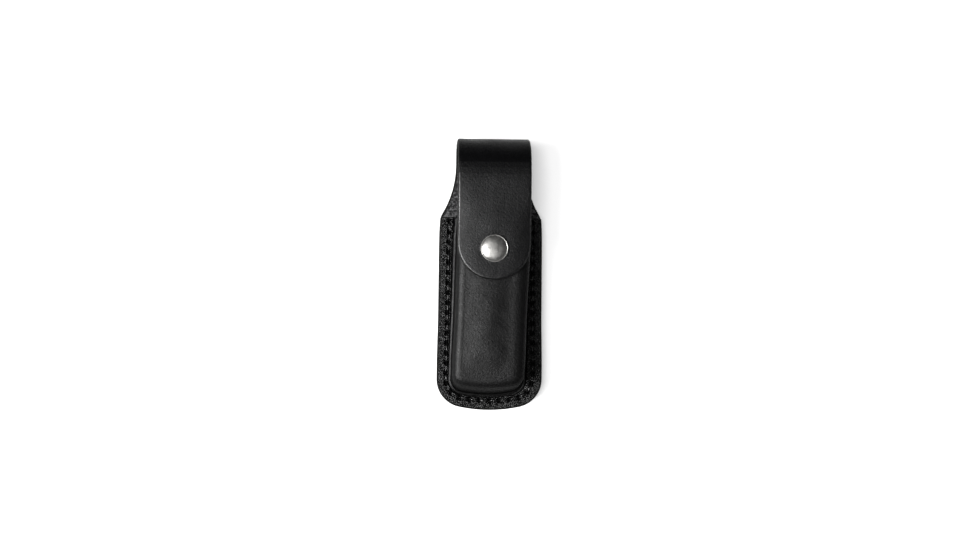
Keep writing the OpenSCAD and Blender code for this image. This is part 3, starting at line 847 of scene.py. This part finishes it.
def blank_loops(n, m):
    a45 = corner_a / 2
    side = np.concatenate([
        arc(corner_x, corner_y, corner_r, -a45, 0, 40),
        np.stack([half_s(np.linspace(corner_y, shoulder_y - 3.5, 120)), np.linspace(corner_y, shoulder_y - 3.5, 120)], 1)[1:],
        [[shoulder_w + 0.1, shoulder_y - 1.2]],
        arc(strap_h + shoulder_r, neck_y, shoulder_r, PI + shoulder_a, PI, 60)[1:],
        [[strap_h, neck_y + 1], [strap_h, T5 - strap_h]],
        arc(0, T5 - strap_h, strap_h, 0, PI / 4, 60)[1:]])
    # round the shoulder's corner, then keep a point row exactly at the split
    side = resample(side, 900)
    k = np.hanning(17)
    k /= k.sum()
    pad = np.concatenate([np.repeat(side[:1], 8, 0), side, np.repeat(side[-1:], 8, 0)])
    sm = np.stack([np.convolve(pad[:, i], k, "valid") for i in range(2)], 1)
    w = smooth(shoulder_y - 9, shoulder_y - 5, side[:, 1]) * (1 - smooth(shoulder_y + 6, shoulder_y + 10, side[:, 1]))
    side = side * (1 - w[:, None]) + sm * w[:, None]
    low = side[side[:, 1] <= T_SPLIT]
    low = np.concatenate([low, [[strap_h, T_SPLIT]]])
    high = np.concatenate([[[strap_h, T_SPLIT]], side[side[:, 1] > T_SPLIT]])
    n_low = int(round(n * 0.52))
    low, high = resample(low, n_low), resample(high, n - n_low)
    right = np.concatenate([low, high[1:]])
    left = right * np.array([-1, 1])
    top = resample(arc(0, T5 - strap_h, strap_h, PI / 4, 3 * PI / 4, 80), m)
    c = arc(corner_x, corner_y, corner_r, -corner_a, -a45, 30)
    base = arc(0, y_bot + bottom_r, bottom_r, -PI + corner_a, -corner_a, 60)
    bottom = resample(np.concatenate([c[::-1] * np.array([-1, 1]), base[1:-1], c]), m)
    return right, top, left[::-1], bottom, n_low


EDGE = [(1.6, 0.0), (1.2, 0.0), (0.98, 0.012), (0.82, 0.045), (0.68, 0.1), (0.54, 0.158), (0.43, 0.23), (0.32, 0.34), (0.21, 0.5), (0.12, 0.72), (0.04, 1.02), (0.0, 1.4),
        (0.02, 1.78), (0.08, 2.08), (0.2, 2.27), (0.42, 2.37), (0.9, 2.4), (1.8, 2.4)]


def build_blank():
    n, m = 430, 74
    right, top, left, bottom, n_low = blank_loops(n, m)
    b = Build()
    ring_d = list(np.arange(6.9, 2.0, -0.33))
    prof = [(d, 0.0) for d in ring_d] + EDGE
    loop = np.concatenate([right[:-1], top[:-1], left[:-1], bottom[:-1]])
    wander = 0.05 * (1 + waves(loop[:, 1], loop[:, 0], 7, 31)) / 2 + 0.02 * (1 + waves(loop[:, 1], loop[:, 0], 2.2, 32))
    slab(b, (right, top, left, bottom), prof, blank_t, place_blank, (0, 1, 2, 6), relief=relief_blank, wander=wander)
    P, Q = np.concatenate(b.p), np.concatenate(b.q)
    faces, mats = np.concatenate(b.f), np.concatenate(b.m)
    tmid = Q[faces][:, :, 1].mean(1)
    made = []
    for name, pick, body_a, body_b in (("back_leather", tmid < T_SPLIT, "case", "flap_top"), ("flap_leather", tmid > T_SPLIT, "flap_top", "flap")):
        f, mt = faces[pick], mats[pick]
        used = np.unique(f)
        to = np.full(len(P), -1)
        to[used] = np.arange(len(used))
        c = Build()
        c.add(P[used], Q[used])
        # painted shade on the upper fold: the nearer the top, the less specular the copy of the blank's grain
        cen = P[f].mean(1)
        steep = ((mt == 0) | (mt == 6)) & (Q[f][:, :, 1].mean(1) > T1)
        down = y_top - cen[:, 1]
        for limit, slot in ((17.0, 3), (14.5, 4), (12.0, 5)):
            mt = np.where(steep & (down < limit) & (cen[:, 2] > z_back + fold_back_r), slot, mt)
        c.f.append(to[f])
        c.m.append(mt)
        made.append((name, c, body_a, body_b))
    return made


def finish_blank():
    made = build_blank()
    out = []
    for name, c, a, b2 in made:
        ob = c.finish(name, ["blank", "edge", "flesh", "bend_a", "bend_b", "bend_c", "rim"], closed=False)
        outward(ob.data, lid=1)
        out.append((ob, a, b2))
    return out


# ---------------------------------------------------------------- belt loop
def loop_z(y):
    t_top = smooth01((loop_top - tab_l - y) / bow_l)
    t_bot = smooth01((y - (loop_bot + tab_l)) / bow_l)
    return np.minimum(t_top, t_bot)


def smooth01(t):
    t = np.clip(t, 0, 1)
    return (1 - np.cos(PI * t)) / 2


def place_loop(f):
    """Flat pattern (x, y, depth from the smooth side, which faces down)."""
    x, y, h = f[:, 0], f[:, 1], f[:, 2]
    drop = belt_gap * loop_z(y)
    slope = belt_gap * (loop_z(y + 0.05) - loop_z(y - 0.05)) / 0.1
    k = 1 / np.sqrt(1 + slope ** 2)
    z = z_back - loop_t - drop + h
    yy = y + (h - loop_t / 2) * slope * k * 0.6
    ends = 1 - smooth(0, 1, loop_z(y))
    z = z + 0.10 * (1 - ends) * (1 - (x / loop_h) ** 2) * 0
    return np.stack([x, yy, z], 1)


def relief_loop(f, d):
    f = f.copy()
    side = f[:, 2].copy()
    out = side < 0.02
    if out.any():
        xy = f[out, :2]
        lh, ls = near(xy, BOX_HOLES), near(xy, BOX_LINE)
        f[out, 2] += 0.8 * np.exp(-(lh / 0.55) ** 2) + 0.2 * np.exp(-(ls / 0.7) ** 4)
        # the floor side stays in one plane, so only the ends wander
        f[out, 2] += 0.03 * (1 + waves(f[out, 0], f[out, 1], 8, 41)) * (1 - loop_z(f[out, 1])) * (0 if d < 0.7 else 1)
    return f


def build_loop():
    b = Build()
    r = 1.4
    n, m = 150, 60
    cr = arc(loop_h - r, loop_bot + r, r, -PI / 4, 0, 10)
    ct = arc(loop_h - r, loop_top - r, r, 0, PI / 4, 10)
    right = resample(np.concatenate([cr, ct]), n)
    left = right * np.array([-1, 1])
    top = resample(np.concatenate([arc(loop_h - r, loop_top - r, r, PI / 4, PI / 2, 10), arc(-loop_h + r, loop_top - r, r, PI / 2, 3 * PI / 4, 10)]), m)
    bottom = resample(np.concatenate([arc(-loop_h + r, loop_bot + r, r, -3 * PI / 4, -PI / 2, 10), arc(loop_h - r, loop_bot + r, r, -PI / 2, -PI / 4, 10)]), m)
    prof = [(d, 0.0) for d in np.arange(5.4, 1.9, -0.33)] + [(1.5, 0.0), (1.1, 0.012), (0.75, 0.06), (0.45, 0.17), (0.2, 0.38), (0.05, 0.7), (0.0, 1.1),
            (0.05, 1.5), (0.18, 1.8), (0.42, 2.04), (0.8, 2.185), (1.3, 2.2), (2.0, 2.2)]
    loop = np.concatenate([right[:-1], top[:-1], left[::-1][:-1], bottom[:-1]])
    wander = 0.06 * (1 + waves(loop[:, 1], loop[:, 0], 8, 43)) / 2
    slab(b, (right, top, left[::-1], bottom), prof, loop_t, place_loop, (0, 1, 2), reach=6.0, relief=relief_loop, wander=wander)
    ob = b.finish("belt_loop_leather", ["loop", "edge", "flesh_in"])
    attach(ob, "case")
    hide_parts("belt_loop")
    return ob


# ---------------------------------------------------------------- snap
def lathe(name, prof, z0, mat, body, node, n=112, rough=0.0, seed=0):
    """A closed profile of (radius, height) turned about the snap's axis."""
    pts = np.array(prof, float)
    b = Build()
    a = np.linspace(0, 2 * PI, n, endpoint=False)
    axis = [i for i, p in enumerate(pts) if p[0] < 1e-6]
    walk = np.concatenate([[0], np.cumsum(np.linalg.norm(np.diff(pts, axis=0), axis=1))])
    rows = []
    for i, (r, z) in enumerate(pts):
        if i in axis:
            c = b.add([[0, snap_y, z0 + z]], [[0, 0, z]])
            rows.append(None if False else c)
            continue
        rr = r * (1 + rough * waves(a * 3, np.full(n, walk[i]), 2.0, seed))
        p = np.stack([rr * np.cos(a), snap_y + rr * np.sin(a), np.full(n, z0 + z)], 1)
        q = np.stack([r * np.cos(a), r * np.sin(a), np.full(n, z)], 1)
        rows.append(b.add(p, q))
    k = len(rows)
    closed = not axis
    for i in range(k if closed else k - 1):
        r0, r1 = rows[i], rows[(i + 1) % k]
        if len(r0) == 1 and len(r1) == 1:
            continue
        if len(r0) == 1 or len(r1) == 1:
            ring, c = (r1, r0[0]) if len(r0) == 1 else (r0, r1[0])
            nx = np.roll(ring, -1)
            f = np.stack([ring, nx, np.full(n, c)] if len(r0) == 1 else [nx, ring, np.full(n, c)], 1)
            b.f.append(f[:, ::-1])
            b.m.append(np.zeros(n, int))
            continue
        b.quads(np.array([r0, r1]), 0, loop=True)
    if not any(x.shape[1] == 4 for x in b.f):
        raise SystemExit("lathe without walls")
    ob = b.finish(name, [mat])
    outward(ob.data, sharp_angle=0.75)
    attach(ob, body)
    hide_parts(node)
    return ob


def curve_pts(cx, cz, r, a, b, n):
    t = np.radians(np.linspace(a, b, n))
    return [(cx + r * math.cos(g), cz + r * math.sin(g)) for g in t]


def build_snap():
    # domed cap with its edge curled under
    g = np.radians(np.linspace(0, 70, 26))
    dome = [((cap_r - 0.14) * math.sin(x), 0.5 + 1.7 * math.cos(x)) for x in g]
    rim = [(cap_r - 0.46, 0.97)] + curve_pts(cap_r - 0.24, 0.82, 0.23, 130, 20, 12) + [(cap_r, 0.7), (cap_r - 0.01, 0.4)] + curve_pts(cap_r - 0.34, 0.36, 0.34, 0, -90, 10)
    under = [(cap_r - 1.0, 0.02), (cap_r - 1.45, 0.03), (cap_r - 1.5, 0.1), (cap_r - 1.45, 0.3), (cap_r - 1.1, 0.34), (cap_r - 0.8, 0.5)]
    inside = [((cap_r - 1.0) * math.sin(x), 0.6 + 1.2 * math.cos(x)) for x in np.radians(np.linspace(80, 0, 14))]
    lathe("cap_shell", dome + rim + under + inside, z_out - 0.1, "cap", "flap", "snap_cap", n=144)
    t = blank_t
    lathe("cap_post_tube", [(cap_r - 1.62, 0.05), (cap_r - 1.62, 0.32), (cap_r - 1.25, 0.38), (cap_r - 1.25, 0.6), (1.4, 0.62), (1.36, 0.4), (1.34, -t - 0.3), (1.4, -t - 0.62), (1.6, -t - 0.72), (2.4, -t - 0.74), (2.8, -t - 0.68),
                            (2.88, -t - 0.56), (2.78, -t - 0.46), (2.1, -t - 0.42), (1.96, -t - 0.34), (1.94, 0.04)], z_out, "brass", "flap", "cap_post")
    lathe("socket_ring", [(2.02, 0), (4.9, 0), (5.15, -0.06), (5.2, -0.18), (5.1, -0.3), (4.7, -0.36), (4.5, -0.5), (4.42, -0.8), (4.42, -1.8), (4.32, -2.06), (4.1, -2.18), (3.2, -2.2), (2.85, -2.16), (2.75, -2.02),
                          (2.85, -1.88), (3.7, -1.84), (3.86, -1.7), (3.92, -1.4), (3.92, -0.6), (3.82, -0.4), (3.5, -0.35), (2.02, -0.34)], z_flap, "nickel", "flap", "snap_socket")
    lathe("stud_base", [(1.66, 0.0), (4.4, 0.0), (4.7, 0.08), (4.8, 0.22), (4.74, 0.38), (4.5, 0.5), (3.4, 0.56), (2.5, 0.6), (2.2, 0.72), (2.1, 0.95), (2.08, 1.3), (2.14, 1.5), (2.25, 1.66), (2.28, 1.8), (2.2, 1.97), (2.0, 2.06),
                        (1.7, 2.1), (1.42, 2.08), (1.3, 2.0), (1.32, 1.84), (1.5, 1.76), (1.66, 1.66)], z_face, "nickel", "case", "snap_stud")
    f = front_t
    lathe("stud_rivet_tube", [(0, -0.52), (2.6, -0.52), (3.4, -0.48), (3.85, -0.36), (4.0, -0.2), (3.9, -0.06), (3.5, -0.02), (1.62, -0.02), (1.6, 0.1), (1.6, f + 0.9), (1.5, f + 1.1), (1.3, f + 1.2), (1.2, f + 1.1), (1.18, 0.3), (1.05, 0.12), (0, 0.1)],
          z_ceil, "brass", "case", "stud_rivet")
    # split wire ring
    b = Build()
    k, s = 96, 14
    a = np.radians(np.linspace(25, 335, k))
    ends = np.minimum(np.arange(k), np.arange(k)[::-1])
    rad = 0.32 * np.sqrt(np.clip(1 - (1 - np.minimum(ends / 3.0, 1)) ** 2, 0.05, 1))
    t = np.linspace(0, 2 * PI, s, endpoint=False)
    rr = 2.62 + rad[:, None] * np.cos(t)[None]
    pts = np.stack([rr * np.cos(a)[:, None], snap_y + rr * np.sin(a)[:, None], z_flap - 1.4 + rad[:, None] * np.sin(t)[None]], 2)
    pat = np.stack(np.broadcast_arrays(np.cos(t)[None], (2.62 * a)[:, None], np.sin(t)[None]), 2)
    ids = b.add(pts, pat).reshape(k, s)
    b.quads(ids, 0, loop=True)
    for row in (0, -1):
        c = b.add(pts[row].mean(0), pat[row, 0])
        ring = ids[row]
        nx = np.roll(ring, -1)
        b.f.append(np.stack([ring, nx, np.full(s, c[0])] if row == 0 else [nx, ring, np.full(s, c[0])], 1))
        b.m.append(np.zeros(s, int))
    ob = b.finish("socket_wire", ["wire"])
    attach(ob, "flap")
    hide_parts("socket_spring")


# ---------------------------------------------------------------- make everything
build_front()
for ob, a, b2 in finish_blank():
    if a == "case":
        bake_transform(ob)
        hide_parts("back_panel", "flap_crown")
    else:
        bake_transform(ob)
        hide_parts("flap_front")
build_loop()
build_snap()


def level(z):
    return lambda xy: np.full(len(xy), z)


left_m = HOLES[0]
right_m = HOLES[-1]
tacks = []
for hole, side in ((HOLES[0], -1), (HOLES[-1], 1)):
    x, y = hole
    tacks += [((x - side * -0.0, y + 0.1), (x - side * 1.9, y - 1.3)), ((x - side * 1.9, y - 1.0), (x + side * 0.1, y - 3.6)), ((x + side * 0.0, y - 3.3), (x - side * 1.7, y - 4.9))]
stitches("seam_stitches_front", HOLES, level(z_rim - 0.12), 1, "case", ["seam_needle_thread"], extra=tacks, seed=3)
stitches("seam_stitches_back", HOLES, level(z_back - 0.02), -1, "case", ["seam_bobbin_thread"], lift=-0.12, seed=4)
for k, (yc, up_node, in_node) in enumerate(zip(TABS, ("loop_upper_outer_thread", "loop_lower_outer_thread"), ("loop_upper_inner_thread", "loop_lower_inner_thread"))):
    ring = [box_at(i * box_len / loop_n, yc)[:2] for i in range(loop_n)]
    ring.append(ring[0])
    stitches("loop_stitches_outside_%d" % k, ring, level(z_back - loop_t + 0.1), -1, "case", [up_node], seed=5 + k)
    stitches("loop_stitches_inside_%d" % k, ring, level(z_in - 0.05), 1, "case", [in_node], dive=1.0, seed=7 + k)

# ---------------------------------------------------------------- floor, light and camera
floor = Build()
nx = 40
gx, gy = np.meshgrid(np.linspace(-1500, 1500, nx), np.linspace(-1500, 1500, nx), indexing="ij")
pts = np.stack([gx, gy, np.zeros_like(gx)], 2)
ids = floor.add(pts, pts).reshape(nx, nx)
floor.quads(ids, 0, flip=True)
nf = Nodes("pale_floor")
soft = nf.noise(nf.pattern((1, 1, 1)), 0.02, 3, 0.5)
M["floor"] = nf.set(Emission_Color=(1, 1, 1, 1), Emission_Strength=0.4, Base_Color=nf.mix(soft, (0.53, 0.53, 0.53), (0.55, 0.55, 0.55)), Roughness=nf.remap(soft, 0, 1, 0.75, 0.85), Specular_IOR_Level=0.2)
fl = floor.finish("floor", ["floor"], closed=False)


def area(name, at, aim, size, power, size_y=None, colour=(1, 1, 1)):
    li = bpy.data.lights.new(name, "AREA")
    li.shape = "RECTANGLE"
    li.size, li.size_y = size, size_y or size
    li.energy = power
    li.color = colour
    ob = bpy.data.objects.new(name, li)
    ob.location = at
    ob.rotation_euler = (Vector(aim) - Vector(at)).to_track_quat("-Z", "Y").to_euler()
    bpy.context.scene.collection.objects.link(ob)
    return ob


def softbox(name, azimuth, off_zenith, dist, size, size_y, radiance):
    """A panel seen from the object at that azimuth (from +X) and angle off the zenith, with that radiance."""
    a, z = math.radians(azimuth), math.radians(off_zenith)
    at = (dist * math.sin(z) * math.cos(a), dist * math.sin(z) * math.sin(a), dist * math.cos(z))
    return area(name, at, (0, 0, 0.02), size, radiance * PI * size * size_y, size_y)


softbox("key_left", 192, 38, 1.3, 0.44, 0.6, 38.0)
softbox("overhead_dim", 240, 13, 1.4, 0.56, 0.5, 3.1)
# plain diffuse fill, kept out of the reflections
softbox("floor_fill", 182, 12, 1.4, 0.42, 0.42, 30.0).visible_glossy = False

world = bpy.data.worlds.new("studio")
world.use_nodes = True
world.node_tree.nodes["Background"].inputs["Color"].default_value = (1, 1, 1, 1)
world.node_tree.nodes["Background"].inputs["Strength"].default_value = 0.09
bpy.context.scene.world = world
bpy.context.scene.view_settings.view_transform = "Standard"
bpy.context.scene.view_settings.look = "None"

cam_data = bpy.data.cameras.new("camera")
cam = bpy.data.objects.new("camera", cam_data)
bpy.context.scene.collection.objects.link(cam)
DIST, TILT = 0.525, math.radians(3.8)
target = Vector((-0.0007, 0.0005, z_rim * 0.001))
back = Vector((-math.sin(TILT), 0, math.cos(TILT)))
across = Vector((0, 1, 0)).cross(back).normalized()
roll = math.radians(0.6)
right_v = across * math.cos(roll) + back.cross(across) * math.sin(roll)
up_v = back.cross(right_v)
cam.location = target + back * DIST
cam.rotation_euler = Matrix((right_v, up_v, back)).transposed().to_euler()
cam_data.sensor_width = 36.0
cam_data.lens = 36.0 * DIST / (978 * 0.000475)
cam_data.clip_start = 0.01
bpy.context.scene.camera = cam
